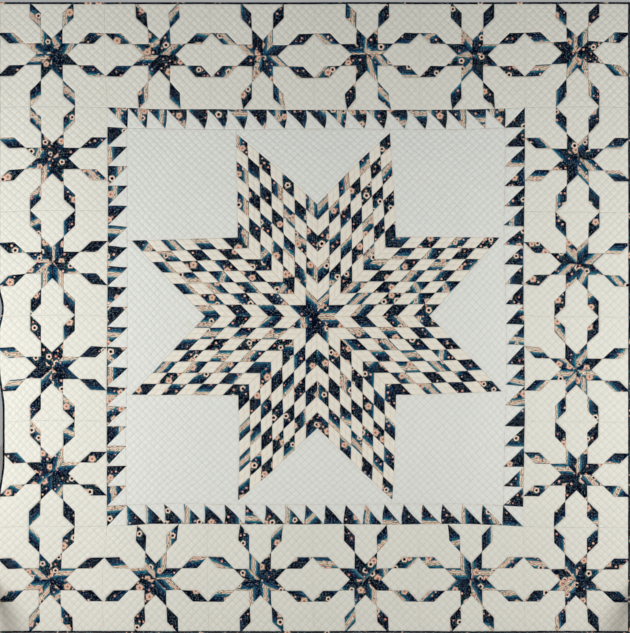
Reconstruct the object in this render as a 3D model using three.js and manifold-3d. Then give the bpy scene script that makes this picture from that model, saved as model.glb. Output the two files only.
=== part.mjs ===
// A pieced cotton quilt that hangs by a sleeve from the pole of a free-standing wooden rack.
// Millimetres, +Z up. The origin is on the floor, midway between the two posts and under the
// pole's axis. The quilt's face looks along -Y.

import * as THREE from "three";
import { mergeVertices } from "three/addons/utils/BufferGeometryUtils.js";
import Module from "manifold-3d";

const wasm = await Module();
wasm.setup();

// Quilt: patchwork
const patchSide = 64; // side of a diamond in the border's stars
const blocksAcross = 6; // star blocks along one side of the quilt
const frameBlocks = 4; // star blocks that the sawtooth frame is as long as
const teethAcross = 21; // half-square units along one side of the sawtooth frame
const starMargin = 18.8; // tips of the central star to the sawtooth frame

// Quilt: layers, from the face to the back
const topThickness = 0.8;
const battingThickness = 1.8;
const backingThickness = 0.8;
const bindingThickness = 0.8;
const bindingWidth = 9; // how far the binding laps over the face and the back

// Hanging sleeve and pole
const hemHeight = 60; // floor to the quilt's lower edge
const poleToQuiltTop = 45; // pole's axis to the quilt's upper edge
const poleRadius = 17.5;
const poleFit = 0.3; // radial clearance of the pole in the sleeve and in the cradles
const poleOverhang = 22; // cradle to the pole's shoulder
const spigotRadius = 8;
const spigotLength = 20;
const sleeveThickness = 1;
const sleeveRise = 26; // pole's axis to the sleeve's upper seam
const sleeveDrop = 72; // pole's axis to the sleeve's lower seam
const sleeveInset = 40; // quilt's side edge to the sleeve's mouth

// Posts: two cheeks each, with a mast that slides between them
const sideClearance = 28; // quilt's side edge to the nearer cheek
const cheekThickness = 18;
const cheekTop = 1660;
const postDepth = 70;
const mastThickness = 22;
const mastDepth = 64;
const mastFoot = 570; // floor to the mast's lower end when it is down
const mastTravel = 300;
const slideClearance = 0.5; // each side of the mast
const cradleFloor = 20; // wood under the pole
const cradleHorn = 22; // pole's axis to the top of the cradle
const cradleWall = 11; // wood round the mast's head
const socketDepth = 35;

// Clamps
const clampHeights = [1200, 1600];
const boltRadius = 5;
const boltFit = 0.5;
const boltHeadRadius = 11;
const boltHeadHeight = 5;
const boltEngagement = 14; // bolt inside the knob
const knobStandoff = 0.5;
const knobHubRadius = 12;
const knobHubLength = 8;
const knobRadius = 24;
const knobLobe = 3;
const knobLobes = 5;
const knobThickness = 16;

// Feet, braces and stretcher
const glideHeight = 8;
const glideRadius = 22;
const glideInset = 45; // foot's end to the glide's centre
const footLength = 820;
const footHeight = 58;
const toeHeight = 34;
const toeLength = 130;
const braceInset = 18; // from the foot's shoulder back to the brace
const braceWidth = 64;
const braceGap = 50; // brace's head to the stretcher above it
const stretcherFoot = 380; // floor to the stretcher's lower edge
const stretcherHeight = 120;
const stretcherThickness = 26;
const stretcherClearance = 1.5; // behind the quilt
const tenonShoulder = 20; // above and below the tenon
const tenonThickness = 18;
const tenonOverhang = 46;
const wedgeThickness = 11;
const wedgeHeadWidth = 28;
const wedgeTipWidth = 16;
const wedgeHead = 45; // above the tenon
const wedgeTip = 25; // below the tenon

const gap = 0.3; // between pieces that touch
const edge = 2.5; // eased edges of the woodwork

// Worked out from the sizes above
const blockSide = patchSide * (4 + 2 * Math.SQRT2);
const quiltSide = blocksAcross * blockSide;
const quiltCentre = hemHeight + quiltSide / 2;
const poleHeight = hemHeight + quiltSide - poleToQuiltTop;
const clothHalf = quiltSide / 2 - bindingThickness - gap;
const frameHalf = (frameBlocks * blockSide) / 2;
const toothSide = (2 * frameHalf) / teethAcross;
const fieldHalf = frameHalf - toothSide;
const pointSide = (fieldHalf - starMargin) / (1 + Math.SQRT1_2);

const sleeveRadius = poleRadius + poleFit;
const backingBack = -(sleeveRadius + sleeveThickness + gap);
const battingBack = backingBack - backingThickness - gap;
const topBack = battingBack - battingThickness - gap;
const quiltFront = topBack - topThickness;

const innerFace = quiltSide / 2 + sideClearance;
const slideWidth = mastThickness + 2 * slideClearance;
const postHalf = cheekThickness + slideWidth / 2;
const postX = innerFace + postHalf;
const outerFace = postX + postHalf;
const webThickness = slideWidth - 2 * gap;
const footBottom = glideHeight + gap;
const footTop = footBottom + footHeight;
const shoulder = footLength / 2 - toeLength;
const mastTop = poleHeight - sleeveRadius - cradleFloor - gap;
const stretcherY = backingBack + bindingThickness + gap + stretcherClearance + stretcherThickness / 2;
const tenonBottom = stretcherFoot + tenonShoulder;
const tenonTop = stretcherFoot + stretcherHeight - tenonShoulder;
const cradleWidth = mastThickness + 2 * (gap + cradleWall);

const finish = (color, roughness, metalness = 0) =>
  new THREE.MeshStandardMaterial({ color, roughness, metalness });
const whiteCotton = () => finish(0xe9e8e0, 0.9);
const printedCotton = () => finish(0x1b2740, 0.6);
const wadding = () => finish(0xf1ede0, 1);
const muslin = () => finish(0xe3dcc9, 0.9);
const oak = () => finish(0xa9794a, 0.55);
const paleWood = () => finish(0xc49a66, 0.45);
const darkWood = () => finish(0x4a2e1b, 0.4);
const brass = () => finish(0xb08d4a, 0.35, 1);
const felt = () => finish(0x5a5348, 1);

const X = new THREE.Vector3(1, 0, 0);
const Y = new THREE.Vector3(0, 1, 0);
const Z = new THREE.Vector3(0, 0, 1);

function solidOf(geometry) {
  const bare = geometry.clone();
  bare.deleteAttribute("normal");
  bare.deleteAttribute("uv");
  const merged = mergeVertices(bare, 1e-4);
  return new wasm.Manifold(
    new wasm.Mesh({
      numProp: 3,
      vertProperties: merged.attributes.position.array,
      triVerts: new Uint32Array(merged.index.array),
    }),
  );
}

function geometryOf(solid) {
  const { vertProperties, triVerts } = solid.getMesh();
  const geometry = new THREE.BufferGeometry();
  geometry.setAttribute("position", new THREE.BufferAttribute(vertProperties, 3));
  geometry.setIndex(new THREE.BufferAttribute(triVerts, 1));
  return geometry;
}

function cut(body, ...tools) {
  return geometryOf(tools.reduce((solid, tool) => solid.subtract(solidOf(tool)), solidOf(body)));
}

function join(...bodies) {
  return geometryOf(bodies.map(solidOf).reduce((all, solid) => all.add(solid)));
}

function box(low, high) {
  const size = high.map((value, i) => value - low[i]);
  const centre = high.map((value, i) => (value + low[i]) / 2);
  return new THREE.BoxGeometry(...size).translate(...centre);
}

// An outline extruded by depth, from 0, with its edges eased by bevel.
function extrude(outline, depth, bevel = 0, curveSegments = 6) {
  const geometry = new THREE.ExtrudeGeometry(outline, {
    depth: depth - 2 * bevel,
    curveSegments,
    bevelEnabled: bevel > 0,
    bevelThickness: bevel,
    bevelSize: bevel,
    bevelOffset: -bevel,
    bevelSegments: 1,
  });
  return geometry.translate(0, 0, bevel);
}

// An outline drawn in Y and Z becomes a body of the given width, centred on x = 0.
function acrossX(outline, width, bevel, curveSegments) {
  const turn = new THREE.Matrix4().makeBasis(Y, Z, X);
  return extrude(outline, width, bevel, curveSegments)
    .translate(0, 0, -width / 2)
    .applyMatrix4(turn);
}

// A turned profile of (radius, distance) points becomes a body along +X.
function turned(profile, segments = 24) {
  const points = profile.map(([radius, along]) => new THREE.Vector2(radius, along));
  return new THREE.LatheGeometry(points, segments).rotateZ(-Math.PI / 2);
}

function rectangle(halfWidth, halfHeight, radius) {
  const shape = new THREE.Shape();
  const [w, h] = [halfWidth - radius, halfHeight - radius];
  shape.absarc(w, h, radius, 0, Math.PI / 2);
  shape.absarc(-w, h, radius, Math.PI / 2, Math.PI);
  shape.absarc(-w, -h, radius, Math.PI, 1.5 * Math.PI);
  shape.absarc(w, -h, radius, 1.5 * Math.PI, 2 * Math.PI);
  return shape;
}

// A straight piece of timber standing on z = 0, with eased edges.
const timber = (thickness, depth, length) =>
  extrude(rectangle(thickness / 2, depth / 2, edge), length, edge / 2, 2);

// A hole along X, round, or long where high is above low.
function slotTool(radius, low, high) {
  const shape = new THREE.Shape();
  shape.absarc(0, high, radius, 0, Math.PI);
  shape.absarc(0, low, radius, Math.PI, 2 * Math.PI);
  return acrossX(shape, 2 * cheekThickness + slideWidth, 0, 8);
}

function piece(name, geometry, material) {
  const mesh = new THREE.Mesh(geometry, material);
  mesh.name = name;
  return mesh;
}

// ---- Rack: one side, built about the post's axis with the quilt towards -X ----

function foot() {
  const half = footLength / 2;
  const toeTop = footBottom + toeHeight;
  const round = toeHeight / 2;
  const shape = new THREE.Shape();
  shape.moveTo(-half, footBottom);
  shape.lineTo(half, footBottom);
  shape.lineTo(half, toeTop - round);
  shape.quadraticCurveTo(half, toeTop, half - round, toeTop);
  shape.quadraticCurveTo(half - toeLength / 2, toeTop, shoulder, footTop);
  shape.lineTo(-shoulder, footTop);
  shape.quadraticCurveTo(toeLength / 2 - half, toeTop, round - half, toeTop);
  shape.quadraticCurveTo(-half, toeTop, -half, toeTop - round);
  const beam = acrossX(shape, 2 * postHalf, edge);
  const housings = [-1, 1].map((side) =>
    box(
      [side > 0 ? webThickness / 2 : -postHalf - 1, -postDepth / 2 - gap, 0],
      [side > 0 ? postHalf + 1 : -webThickness / 2, postDepth / 2 + gap, footTop + 1],
    ),
  );
  return cut(beam, ...housings);
}

const glide = (y) =>
  new THREE.CylinderGeometry(glideRadius, glideRadius, glideHeight, 28)
    .rotateX(Math.PI / 2)
    .translate(0, y, glideHeight / 2);

function cheek(x) {
  const board = timber(cheekThickness, postDepth, cheekTop - footBottom).translate(0, 0, footBottom);
  const holes = clampHeights.map((height) => slotTool(boltRadius + boltFit, height, height));
  const mortise = box(
    [-cheekThickness, stretcherY - tenonThickness / 2 - gap, tenonBottom - gap],
    [cheekThickness, stretcherY + tenonThickness / 2 + gap, tenonTop + gap],
  );
  return cut(board, ...holes, mortise).translate(x, 0, 0);
}

// A curved knee from the foot to the post. Its head is let in between the cheeks.
function brace(direction) {
  const reach = shoulder - braceInset;
  const head = stretcherFoot - braceGap;
  const bottom = footTop + gap;
  const face = postDepth / 2;
  const shape = new THREE.Shape();
  shape.moveTo(gap, head);
  shape.lineTo(gap, head - braceWidth);
  shape.lineTo(face, head - braceWidth);
  shape.quadraticCurveTo(reach / 2, (bottom + head) / 2, reach - braceWidth, bottom);
  shape.lineTo(reach, bottom);
  shape.quadraticCurveTo(reach * 0.8, head * 0.8, face, head);
  const knee = acrossX(shape, webThickness, 1.5, 8);
  return direction > 0 ? knee : knee.rotateZ(Math.PI);
}

function mast() {
  const board = timber(mastThickness, mastDepth, mastTop - mastFoot).translate(0, 0, mastFoot);
  const slots = clampHeights.map((height) => slotTool(boltRadius + boltFit, height - mastTravel, height));
  return cut(board, ...slots);
}

// A forked block that caps the mast and holds the pole.
function cradle() {
  const half = mastDepth / 2 + gap + cradleWall;
  const bottom = mastTop - socketDepth - poleHeight;
  const round = cradleHorn / 2;
  const shape = new THREE.Shape();
  shape.moveTo(-half, bottom);
  shape.lineTo(half, bottom);
  shape.lineTo(half, cradleHorn - round);
  shape.quadraticCurveTo(half, cradleHorn, half - round, cradleHorn);
  shape.lineTo(sleeveRadius + edge, cradleHorn);
  shape.lineTo(sleeveRadius, cradleHorn - 2 * edge);
  shape.absarc(0, 0, sleeveRadius, 0, -Math.PI, true);
  shape.lineTo(-sleeveRadius, cradleHorn - 2 * edge);
  shape.lineTo(-sleeveRadius - edge, cradleHorn);
  shape.lineTo(round - half, cradleHorn);
  shape.quadraticCurveTo(-half, cradleHorn, -half, cradleHorn - round);
  const fork = acrossX(shape, cradleWidth, 1.5, 12).translate(0, 0, poleHeight);
  const socket = box(
    [-mastThickness / 2 - gap, -mastDepth / 2 - gap, mastTop - socketDepth - 1],
    [mastThickness / 2 + gap, mastDepth / 2 + gap, mastTop + gap],
  );
  return cut(fork, socket);
}

function clampBolt(height) {
  const dome = Array.from({ length: 6 }, (_, i) => {
    const angle = (i / 5) * (Math.PI / 2);
    return [boltHeadRadius * Math.sin(angle), -boltHeadHeight * Math.cos(angle)];
  });
  const end = gap + 2 * postHalf + knobStandoff + boltEngagement;
  const profile = [...dome, [boltRadius, 0], [boltRadius, end - 1], [boltRadius - 1, end], [0, end]];
  return turned(profile).translate(-postHalf - gap, 0, height);
}

function clampKnob(height) {
  const corners = 60;
  const outline = Array.from({ length: corners }, (_, i) => {
    const angle = (i / corners) * 2 * Math.PI;
    const radius = knobRadius + knobLobe * Math.cos(knobLobes * angle);
    return new THREE.Vector2(radius * Math.cos(angle), radius * Math.sin(angle));
  });
  const face = postHalf + knobStandoff;
  const star = acrossX(new THREE.Shape(outline), knobThickness, edge).translate(
    face + knobHubLength + knobThickness / 2,
    0,
    0,
  );
  const hub = turned([
    [0, 0],
    [knobHubRadius, 0],
    [knobHubRadius, knobHubLength + 1],
    [0, knobHubLength + 1],
  ]).translate(face, 0, 0);
  const bore = turned([
    [0, -1],
    [boltRadius + gap, -1],
    [boltRadius + gap, boltEngagement + gap],
    [0, boltEngagement + gap],
  ]).translate(face, 0, 0);
  return cut(join(star, hub), bore).translate(0, 0, height);
}

function wedge() {
  const shape = new THREE.Shape();
  shape.moveTo(0, tenonBottom - wedgeTip);
  shape.lineTo(wedgeTipWidth, tenonBottom - wedgeTip);
  shape.lineTo(wedgeHeadWidth, tenonTop + wedgeHead);
  shape.lineTo(0, tenonTop + wedgeHead);
  const upright = new THREE.Matrix4().makeBasis(X, Z, Y.clone().negate());
  return extrude(shape, wedgeThickness, 1)
    .applyMatrix4(upright)
    .translate(postHalf + gap, stretcherY + wedgeThickness / 2, 0);
}

function makeSide(side, name) {
  const group = new THREE.Group();
  const cheekOffset = (slideWidth + cheekThickness) / 2;
  const glideOffset = footLength / 2 - glideInset;
  group.add(
    piece(`${name}_foot`, foot(), oak()),
    piece(`${name}_front_glide`, glide(-glideOffset), felt()),
    piece(`${name}_rear_glide`, glide(glideOffset), felt()),
    piece(`${name}_inner_cheek`, cheek(-cheekOffset), oak()),
    piece(`${name}_outer_cheek`, cheek(cheekOffset), oak()),
    piece(`${name}_front_brace`, brace(-1), oak()),
    piece(`${name}_rear_brace`, brace(1), oak()),
    piece(`${name}_mast`, mast(), oak()),
    piece(`${name}_cradle`, cradle(), darkWood()),
    piece(`${name}_wedge`, wedge(), darkWood()),
  );
  ["lower", "upper"].forEach((level, i) => {
    group.add(
      piece(`${name}_${level}_bolt`, clampBolt(clampHeights[i]), brass()),
      piece(`${name}_${level}_knob`, clampKnob(clampHeights[i]), darkWood()),
    );
  });
  group.scale.x = side;
  group.position.x = side * postX;
  return group;
}

// ---- Rack: what spans the two sides ----

function stretcher() {
  const board = timber(stretcherThickness, stretcherHeight, 2 * (innerFace - gap))
    .rotateY(Math.PI / 2)
    .rotateX(Math.PI / 2)
    .translate(gap - innerFace, 0, 0);
  const tenonEnd = outerFace + tenonOverhang;
  const halfHeight = stretcherHeight / 2 - tenonShoulder;
  const tenon = acrossX(rectangle(tenonThickness / 2, halfHeight, 1), 2 * tenonEnd, 1, 1);
  const taper = (wedgeHeadWidth - wedgeTipWidth) / (2 * halfHeight + wedgeHead + wedgeTip);
  const hole = wedgeHeadWidth - taper * wedgeHead + 2 * gap;
  const mortises = [-1, 1].map((side) =>
    box(
      [side > 0 ? outerFace : -outerFace - hole, -wedgeThickness / 2 - gap, -stretcherHeight],
      [side > 0 ? outerFace + hole : -outerFace, wedgeThickness / 2 + gap, stretcherHeight],
    ),
  );
  return cut(join(board, tenon), ...mortises).translate(0, stretcherY, stretcherFoot + stretcherHeight / 2);
}

const poleShoulder = postX + cradleWidth / 2 + poleOverhang;

function pole() {
  const end = poleShoulder + spigotLength;
  return turned(
    [
      [0, -end],
      [spigotRadius, -end],
      [spigotRadius, -poleShoulder],
      [poleRadius, -poleShoulder],
      [poleRadius, poleShoulder],
      [spigotRadius, poleShoulder],
      [spigotRadius, end],
      [0, end],
    ],
    36,
  ).translate(0, 0, poleHeight);
}

// A turned end for the pole: a collar, a neck and a ball, bored for the pole's spigot.
function finial() {
  const collarRadius = poleRadius + 7;
  const neckRadius = poleRadius - 3;
  const ballRadius = poleRadius + 9;
  const neckStart = 8;
  const ballCentre = 42;
  const first = Math.asin(neckRadius / ballRadius) - Math.PI;
  const steps = 12;
  const ball = Array.from({ length: steps + 1 }, (_, i) => {
    const angle = first * (1 - i / steps);
    return [ballRadius * Math.abs(Math.sin(angle)), ballCentre + ballRadius * Math.cos(angle)];
  });
  return turned([
    [0, spigotLength + gap],
    [spigotRadius + gap, spigotLength + gap],
    [spigotRadius + gap, 0],
    [collarRadius - 1.5, 0],
    [collarRadius, 1.5],
    [collarRadius, neckStart - 1.5],
    [collarRadius - 1.5, neckStart],
    [neckRadius, neckStart + 2],
    ...ball.slice(0, -1),
    [0, ballCentre + ballRadius],
  ]);
}

function makeFinial(side, name) {
  const mesh = piece(`${name}_finial`, finial(), darkWood());
  mesh.scale.x = side;
  mesh.position.set(side * (poleShoulder + gap), 0, poleHeight);
  return mesh;
}

// ---- Quilt: built about its centre, with outlines drawn in X and Z ----

// Moves each edge of a counter-clockwise outline inwards.
function inset(points, distance) {
  const lines = points.map(([x, z], i) => {
    const [nextX, nextZ] = points[(i + 1) % points.length];
    const length = Math.hypot(nextX - x, nextZ - z);
    const [alongX, alongZ] = [(nextX - x) / length, (nextZ - z) / length];
    return { x: x - alongZ * distance, z: z + alongX * distance, alongX, alongZ };
  });
  return lines.map((line, i) => {
    const before = lines[(i + lines.length - 1) % lines.length];
    const cross = before.alongX * line.alongZ - before.alongZ * line.alongX;
    const [dx, dz] = [line.x - before.x, line.z - before.z];
    const t = (dx * line.alongZ - dz * line.alongX) / cross;
    return [before.x + t * before.alongX, before.z + t * before.alongZ];
  });
}

// A flat cloth of the given outline, from y = back towards the face.
function cloth(points, back, thickness) {
  const outline = new THREE.Shape(points.map(([x, z]) => new THREE.Vector2(x, z)));
  const upright = new THREE.Matrix4().makeBasis(X, Z, Y.clone().negate());
  return extrude(outline, thickness).applyMatrix4(upright).translate(0, back, 0);
}

const patch = (points) => cloth(inset(points, gap / 2), topBack, topThickness);
const span = (left, bottom, right, top) => [
  [left, bottom],
  [right, bottom],
  [right, top],
  [left, top],
];

// The outline turned clockwise by quarter turns.
function quarterTurns(points, turns) {
  return points.map((point) => {
    let [x, z] = point;
    for (let i = 0; i < turns; i += 1) [x, z] = [z, -x];
    return [x, z];
  });
}

function starPoint(index) {
  const at = (radius, degrees) => {
    const angle = (degrees * Math.PI) / 180;
    return [radius * Math.cos(angle), radius * Math.sin(angle)];
  };
  const middle = 22.5 + 45 * index;
  const tip = 2 * pointSide * Math.cos(Math.PI / 8);
  return patch([
    [0, 0],
    at(pointSide, middle - 22.5),
    at(tip, middle),
    at(pointSide, middle + 22.5),
  ]);
}

function makeTop() {
  const group = new THREE.Group();
  const notch = pointSide * Math.SQRT1_2;
  const tip = pointSide + notch;
  const square = span(notch, notch, fieldHalf, fieldHalf);
  const triangle = [
    [0, pointSide],
    [notch, tip],
    [notch, fieldHalf],
    [-notch, fieldHalf],
    [-notch, tip],
  ];
  const teeth = span(-frameHalf, fieldHalf, fieldHalf, frameHalf);
  const longBorder = span(-clothHalf, frameHalf, clothHalf, clothHalf);
  const shortBorder = span(-frameHalf, frameHalf, frameHalf, clothHalf);
  const corners = ["upper_right", "lower_right", "lower_left", "upper_left"];
  const sides = ["top", "right", "bottom", "left"];
  for (let i = 0; i < 8; i += 1) {
    group.add(piece(`star_point_${i + 1}`, starPoint(i), printedCotton()));
  }
  sides.forEach((name, turns) => {
    const border = turns % 2 ? shortBorder : longBorder;
    group.add(
      piece(`corner_square_${corners[turns]}`, patch(quarterTurns(square, turns)), whiteCotton()),
      piece(`side_triangle_${name}`, patch(quarterTurns(triangle, turns)), whiteCotton()),
      piece(`sawtooth_border_${name}`, patch(quarterTurns(teeth, turns)), whiteCotton()),
      piece(`star_border_${name}`, patch(quarterTurns(border, turns)), whiteCotton()),
    );
  });
  return group;
}

function binding() {
  const outer = quiltSide / 2;
  const inner = clothHalf + gap;
  const window = outer - bindingWidth;
  const back = backingBack + gap + bindingThickness;
  const front = quiltFront - gap - bindingThickness;
  return cut(
    box([-outer, front, -outer], [outer, back, outer]),
    box([-inner, front + bindingThickness, -inner], [inner, back - bindingThickness, inner]),
    box([-window, front - 1, -window], [window, back + 1, window]),
  );
}

// The loop of cloth round the pole: flat against the backing, tangent to a circle about the
// pole's axis, and brought in to a seam above and below.
function sleeveLoop(radius, rise, drop) {
  const tangent = (z) => Math.atan2(z, -radius) - Math.sign(z) * Math.acos(radius / Math.hypot(radius, z));
  const [high, low] = [tangent(rise), tangent(-drop)];
  const steps = 14;
  const arc = Array.from({ length: steps + 1 }, (_, i) => {
    const angle = low + ((high - low) * i) / steps;
    return new THREE.Vector2(radius * Math.cos(angle), radius * Math.sin(angle));
  });
  return [new THREE.Vector2(-radius, -drop), ...arc, new THREE.Vector2(-radius, rise)];
}

function sleeve() {
  const shape = new THREE.Shape(
    sleeveLoop(sleeveRadius + sleeveThickness, sleeveRise + 2, sleeveDrop + 4),
  );
  shape.holes.push(new THREE.Path(sleeveLoop(sleeveRadius, sleeveRise, sleeveDrop)));
  return acrossX(shape, quiltSide - 2 * sleeveInset, 0);
}

function makeQuilt() {
  const group = makeTop();
  const whole = span(-clothHalf, -clothHalf, clothHalf, clothHalf);
  const hangingSleeve = piece("hanging_sleeve", sleeve(), muslin());
  hangingSleeve.position.z = poleHeight - quiltCentre;
  group.add(
    piece("batting", cloth(whole, battingBack, battingThickness), wadding()),
    piece("backing", cloth(whole, backingBack, backingThickness), muslin()),
    piece("binding", binding(), printedCotton()),
    hangingSleeve,
  );
  group.position.z = quiltCentre;
  return group;
}

const quiltOnRack = new THREE.Group();
quiltOnRack.add(
  makeSide(-1, "left"),
  makeSide(1, "right"),
  piece("stretcher", stretcher(), oak()),
  piece("pole", pole(), paleWood()),
  makeFinial(-1, "left"),
  makeFinial(1, "right"),
  makeQuilt(),
);

export default quiltOnRack;
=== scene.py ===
"""Looks for the pieced cotton quilt and its display rack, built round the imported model.

Every length is in metres, in the model's own frame: +X right, +Z up, the quilt's face looks
along -Y. Flat quilt places are written (u, v): u to the right and v up from the quilt's centre.
The depth w is measured from the pole's axis towards the quilt's face, so y = -w.
"""

import math

import bpy
import numpy as np
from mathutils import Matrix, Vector
from mathutils.geometry import delaunay_2d_cdt


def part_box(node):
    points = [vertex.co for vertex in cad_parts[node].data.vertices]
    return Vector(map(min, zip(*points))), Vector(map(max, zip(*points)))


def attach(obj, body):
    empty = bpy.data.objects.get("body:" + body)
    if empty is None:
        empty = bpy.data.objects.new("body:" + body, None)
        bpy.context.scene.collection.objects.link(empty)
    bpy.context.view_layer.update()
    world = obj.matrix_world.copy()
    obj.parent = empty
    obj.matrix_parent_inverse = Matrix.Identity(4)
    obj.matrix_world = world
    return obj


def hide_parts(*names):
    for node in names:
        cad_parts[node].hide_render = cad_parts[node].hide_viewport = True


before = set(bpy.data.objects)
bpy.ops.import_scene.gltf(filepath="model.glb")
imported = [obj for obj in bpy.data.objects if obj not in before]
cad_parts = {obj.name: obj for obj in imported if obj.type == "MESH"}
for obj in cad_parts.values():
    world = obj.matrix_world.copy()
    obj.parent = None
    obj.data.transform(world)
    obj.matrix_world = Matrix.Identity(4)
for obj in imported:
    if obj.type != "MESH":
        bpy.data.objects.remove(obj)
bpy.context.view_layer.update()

MM = 0.001
TURN = 2 * math.pi
HALF_TURN = math.pi
QUARTER = math.pi / 2
EIGHTH = math.pi / 4
ROOT2 = math.sqrt(2)

# ---- Sizes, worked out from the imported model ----

BLOCKS_ACROSS = 6
TEETH_ACROSS = 21
DIAMONDS_ACROSS = 7
STAR_MARGIN = 18.8 * MM  # tips of the central star to the sawtooth frame
BINDING_LAP = 9 * MM
BINDING_GAP = 1.1 * MM  # quilt's edge to the cloth inside the binding

quilt_low, quilt_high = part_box("binding")
QUILT_HALF = quilt_high.x
CENTRE_Z = (quilt_low.z + quilt_high.z) / 2
CLOTH_HALF = QUILT_HALF - BINDING_GAP
BLOCK = 2 * QUILT_HALF / BLOCKS_ACROSS
PATCH = BLOCK / (4 + 2 * ROOT2)  # side of a diamond in a star block
FRAME_HALF = 2 * BLOCK
TOOTH = 2 * FRAME_HALF / TEETH_ACROSS
FIELD_HALF = FRAME_HALF - TOOTH
POINT_SIDE = (FIELD_HALF - STAR_MARGIN) / (1 + 1 / ROOT2)
STAR_PATCH = POINT_SIDE / DIAMONDS_ACROSS
NOTCH = POINT_SIDE / ROOT2
ON_FRAME = FRAME_HALF - 30 * MM  # the sawtooth frame's line of points

# Depths of the layers
TOP_FRONT = -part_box("corner_square_upper_right")[0].y
BACKING_BACK = -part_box("backing")[1].y
SEAM_DEPTH = TOP_FRONT - 0.9 * MM
TOP_BACK = TOP_FRONT - 1.6 * MM
BATTING_FRONT = TOP_FRONT - 1.8 * MM
BATTING_BACK = BACKING_BACK + 1.5 * MM
BACKING_FRONT = BACKING_BACK + 1.2 * MM
PUFF = 2.7 * MM  # how far the batting lifts the face between two quilting lines
BACK_PUFF = 1.3 * MM

# Quilting: a square grid at 45 degrees, thirteen cells to a block's diagonal
HATCH = BLOCK / (13 * ROOT2)
STITCHES_PER_CELL = 9

EDGE_ZONE = 160 * MM  # how far in from an edge the edge's own shape reaches

RIPPLE_WAVES = 6  # waves added up in a random surface

# Fineness of the meshes
FINE = 6  # mesh cells across one quilting cell
PATCH_CELLS = 16  # along the side of a block's diamond
STAR_CELLS = 14  # along the side of a central star's diamond
TOOTH_CELLS = 20
COARSE = 34 * MM  # spacing on the hidden side of a patch

# Sleeve and pole
sleeve_low, sleeve_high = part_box("hanging_sleeve")
pole_low, pole_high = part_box("pole")
POLE_Z = (pole_low.z + pole_high.z) / 2
SLEEVE_FOOT = sleeve_low.z - CENTRE_Z


# ---- Numbers over the quilt ----


def columns(*values):
    return np.stack(values, axis=-1)


def smooth(x, low=0.0, high=1.0):
    """0 up to low, 1 from high, and an even curve between."""
    t = np.clip((np.asarray(x, float) - low) / (high - low), 0, 1)
    return t * t * (3 - 2 * t)


def ripple(u, v, wavelength, seed):
    """A soft random surface between about -1 and 1, the same on every run."""
    random = np.random.default_rng(seed)
    total = 0
    for _ in range(RIPPLE_WAVES):
        angle = random.uniform(0, TURN)
        step = TURN / (wavelength * random.uniform(0.7, 1.5))
        phase = random.uniform(0, TURN)
        total = total + np.cos(step * (u * math.cos(angle) + v * math.sin(angle)) + phase)
    return total / math.sqrt(2 * RIPPLE_WAVES)


def hump(x, middle, width):
    """1 at the middle, falling evenly to nothing a width away."""
    return smooth(width - np.abs(x - middle), 0, width)


def star_pull(u, v):
    """The central star as sewn: larger round its middle than drawn, a little to the right,
    and turned a little at its tips."""
    away = np.maximum(np.hypot(u, v), 50 * MM)
    spread = 13 * MM * np.sin(HALF_TURN * np.clip(away / 0.84, 0, 1)) / away
    aside = 15 * MM * np.cos(QUARTER * np.clip(away / 0.88, 0, 1) ** 2)
    at_tips = smooth(away, 0.3, 0.75) * smooth(0.95 - away, 0, 0.12)
    swirl = 9 * MM * at_tips / away
    du = spread * u + aside - swirl * v * (0.6 + 0.4 * smooth(v, -0.2, 0.2))
    return du, spread * v - 0.4 * aside * hump(away, 0, 0.3) + swirl * u


def frame_pull(u, v):
    """The sawtooth frame as sewn: drawn in above, below and at the left, its teeth uneven."""
    left = hump(-u, ON_FRAME, 0.3) * smooth(FRAME_HALF + 0.2 - np.abs(v), 0, 0.2)
    level = hump(np.abs(v), ON_FRAME, 0.24) * smooth(FRAME_HALF + 0.1 - np.abs(u), 0, 0.4)
    upper, lower = (hump(side * v, ON_FRAME, 0.09) for side in (1, -1))
    share = np.clip(u / FRAME_HALF, -1, 1)
    along = 17 * upper * np.cos(QUARTER * share) - 9 * lower * np.sin(HALF_TURN * share)
    return 14 * MM * left + along * MM, -12 * MM * level * np.sign(v)


def drift(u, v):
    """How far the hand-pieced seams and the hanging cloth stray from the drawn pattern."""
    across, up = u / QUILT_HALF, v / QUILT_HALF
    middle_height = np.cos(np.clip(up, -1, 1) * QUARTER)
    # The whole top leans to the left as it goes down, and rides a little high at mid height.
    du = -4 * MM * (1 - up) + 5 * MM * smooth(-across) * middle_height
    dv = (7 - 4 * across) * MM * middle_height - 2 * MM * up
    # Long slow waves, and short ones from patch to patch.
    du = du + 2.2 * MM * ripple(u, v, 0.75, 11) + 0.9 * MM * ripple(u, v, 0.13, 12)
    dv = dv + 2.2 * MM * ripple(u, v, 0.75, 13) + 0.9 * MM * ripple(u, v, 0.13, 14)
    for pull in (star_pull, frame_pull):
        more_u, more_v = pull(u, v)
        du, dv = du + more_u, dv + more_v
    # Three blocks of the upper border sit off their places.
    top = hump(v, 1.1, 0.35)
    du = du + 11 * MM * top * hump(u, -0.55, 0.5)
    dv = dv + top * (12 * MM * hump(u, 1.15, 0.35) - 6 * MM * hump(u, -0.22, 0.45))
    # The outer edges stay nearly straight, whatever the seams inside them do.
    outward = np.maximum(np.abs(u), np.abs(v))
    settle = 1 - 0.8 * smooth(outward, QUILT_HALF - EDGE_ZONE, QUILT_HALF)
    # Only the left edge curls in, at two places.
    near_left = smooth(-u, QUILT_HALF - EDGE_ZONE, QUILT_HALF - 10 * MM)
    scallops = 17 * MM * hump(v, 0.035, 0.1) + 21 * MM * smooth(0.3 - np.abs(v + 0.49), 0, 0.2)
    return du * settle + near_left * (scallops - 6 * MM), dv * settle


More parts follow.
